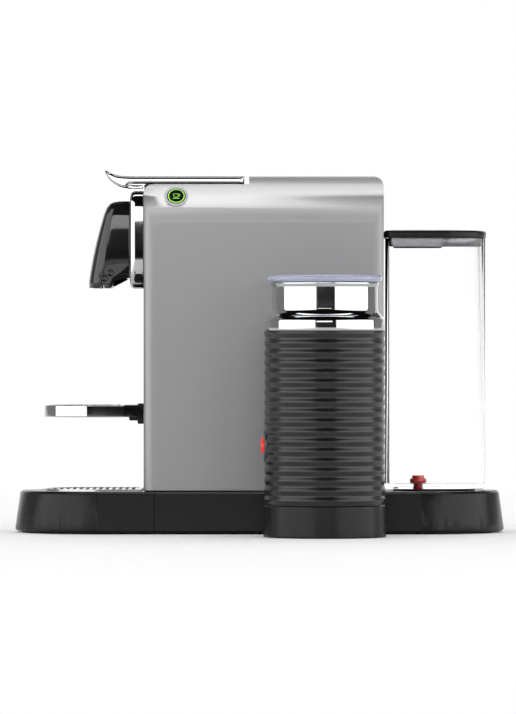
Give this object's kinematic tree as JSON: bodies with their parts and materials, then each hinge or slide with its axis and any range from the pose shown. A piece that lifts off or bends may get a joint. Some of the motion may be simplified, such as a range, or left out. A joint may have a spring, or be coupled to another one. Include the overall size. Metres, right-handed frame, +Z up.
{
  "type": "pod coffee machine",
  "caption": "Upright pod coffee machine on a long rounded base, with a lever, fold-up cup rest, slide-out tray, clear rear water tank and a ribbed milk frother on a dock beside it.",
  "frame": {"origin": "on the surface it stands on, under the middle of the whole footprint, machine and frother together", "axes": "+Z up, -X towards the front where the coffee comes out, -Y towards the frother"},
  "size_m": [0.3734, 0.2369, 0.2762],
  "materials": {
    "base_plastic": "satin moulded black plastic",
    "silver_paint": "fine silver metallic paint, satin",
    "chrome_trim": "polished chrome",
    "gloss_black": "polished black plastic",
    "dark_trim": "dark glossy plastic",
    "rubber_black": "soft matt rubber",
    "steel": "brushed stainless steel",
    "inner_plastic": "grey moulded plastic",
    "bezel_grey": "satin grey ring",
    "lit_ring": "green lit ring",
    "aluminium_cast": "cast aluminium",
    "hose_silicone": "translucent silicone",
    "meter_plastic": "natural nylon",
    "board_green": "green circuit board",
    "clear_plastic": "clear moulded plastic",
    "lid_black": "satin black plastic",
    "ring_grey": "metallic grey",
    "valve_red": "red plastic",
    "sleeve_black": "matt black ribbed sleeve",
    "jug_steel": "polished stainless steel",
    "copper_coil": "enamelled copper wire",
    "button_red": "red lit button",
    "lid_tint": "tinted translucent plastic"
  },
  "bodies": {
    "machine": {"base_housing": "base_plastic", "base_plate": "base_plastic", "base_feet": "rubber_black", "base_screws": "steel", "cord_gland": "rubber_black", "side_panel_left": "silver_paint", "side_panel_right": "silver_paint", "top_cover": "silver_paint", "rear_spine": "gloss_black", "chassis": "inner_plastic", "top_deck": "base_plastic", "front_collar": "chrome_trim", "head_cover": "gloss_black", "coffee_outlet": "dark_trim", "pierce_plate": "steel", "brew_frame": "inner_plastic", "lever_shaft": "steel", "button_bezels": "bezel_grey", "pump": "inner_plastic", "pump_mounts": "rubber_black", "thermoblock": "aluminium_cast", "flow_meter": "meter_plastic", "water_hoses": "hose_silicone", "control_board": "board_green", "tank_seat": "base_plastic", "tank_gasket": "rubber_black", "frother_dock": "base_plastic", "dock_stator": "copper_coil"},
    "drawer": {"tray_shell": "base_plastic", "tray_feet": "rubber_black", "capsule_bin": "inner_plastic", "bin_fascia": "gloss_black", "cup_rest_bracket": "base_plastic", "cup_rest_pin": "steel"},
    "drip_tray_grid": {"drip_grid": "steel"},
    "cup_rest": {"cup_rest_frame": "chrome_trim", "cup_rest_grid": "dark_trim"},
    "lever": {"lever_handle": "chrome_trim", "lever_underside": "chrome_trim", "lever_cams": "steel"},
    "carriage": {"brew_carriage": "inner_plastic", "capsule_cage": "steel", "carriage_pin": "steel"},
    "espresso_key": {"espresso_button": "gloss_black", "espresso_ring": "lit_ring"},
    "lungo_key": {"lungo_button": "gloss_black", "lungo_ring": "lit_ring"},
    "tank": {"tank_vessel": "clear_plastic"},
    "tank_cover": {"tank_lid": "lid_black", "tank_lid_ring": "ring_grey"},
    "valve": {"tank_valve": "valve_red"},
    "frother": {"frother_sleeve": "sleeve_black", "frother_jug": "jug_steel", "frother_base": "base_plastic", "frother_motor": "steel", "frother_bezel": "dark_trim"},
    "frother_cover": {"frother_lid": "lid_tint", "frother_lid_seal": "rubber_black"},
    "whisk_wheel": {"whisk": "steel"},
    "frother_key": {"frother_button": "button_red"}
  },
  "joints": [
    {"name": "drawer_slide", "type": "slide", "parent": "machine", "child": "drawer", "axis": [-1, 0, 0], "range_m": [0, 0.15]},
    {"name": "drip_grid_lift", "type": "slide", "parent": "drawer", "child": "drip_tray_grid", "axis": [0, 0, 1], "range_m": [0, 0.048]},
    {"name": "cup_rest_fold", "type": "hinge", "parent": "drawer", "child": "cup_rest", "pos_m": [-0.0937, 0.05345, 0.0926], "axis": [0, 1, 0], "range_deg": [0, 90]},
    {"name": "lever_lift", "type": "hinge", "parent": "machine", "child": "lever", "pos_m": [-0.034, 0.05345, 0.258], "axis": [0, 1, 0], "range_deg": [0, 70]},
    {"name": "carriage_slide", "type": "slide", "parent": "machine", "child": "carriage", "axis": [1, 0, 0], "range_m": [0, 0.024]},
    {"name": "espresso_press", "type": "slide", "parent": "machine", "child": "espresso_key", "axis": [0, 0.8261, -0.5635], "range_m": [0, 0.001], "stiffness_N_per_m": 300, "springref_m": -0.001},
    {"name": "lungo_press", "type": "slide", "parent": "machine", "child": "lungo_key", "axis": [0, -0.8261, -0.5635], "range_m": [0, 0.001], "stiffness_N_per_m": 300, "springref_m": -0.001},
    {"name": "tank_lift", "type": "slide", "parent": "machine", "child": "tank", "axis": [0, 0, 1], "range_m": [0, 0.12]},
    {"name": "tank_lid_lift", "type": "slide", "parent": "tank", "child": "tank_cover", "axis": [0, 0, 1], "range_m": [0, 0.06]},
    {"name": "tank_valve_open", "type": "slide", "parent": "tank", "child": "valve", "axis": [0, 0, 1], "range_m": [0, 0.002], "stiffness_N_per_m": 60, "springref_m": -0.003},
    {"name": "frother_lift", "type": "slide", "parent": "machine", "child": "frother", "axis": [0, 0, 1], "range_m": [0, 0.12]},
    {"name": "frother_lid_lift", "type": "slide", "parent": "frother", "child": "frother_cover", "axis": [0, 0, 1], "range_m": [0, 0.04]},
    {"name": "whisk_spin", "type": "hinge", "parent": "frother", "child": "whisk_wheel", "pos_m": [0.0485, -0.07255, 0.084], "axis": [0, 0, 1], "continuous": true},
    {"name": "frother_press", "type": "slide", "parent": "frother", "child": "frother_key", "axis": [1, 0, 0], "range_m": [0, 0.0012], "stiffness_N_per_m": 300, "springref_m": -0.001}
  ],
  "couplings": [
    {"joint": "carriage_slide", "follows": "lever_lift", "m_per_rad": 0.019644}
  ]
}
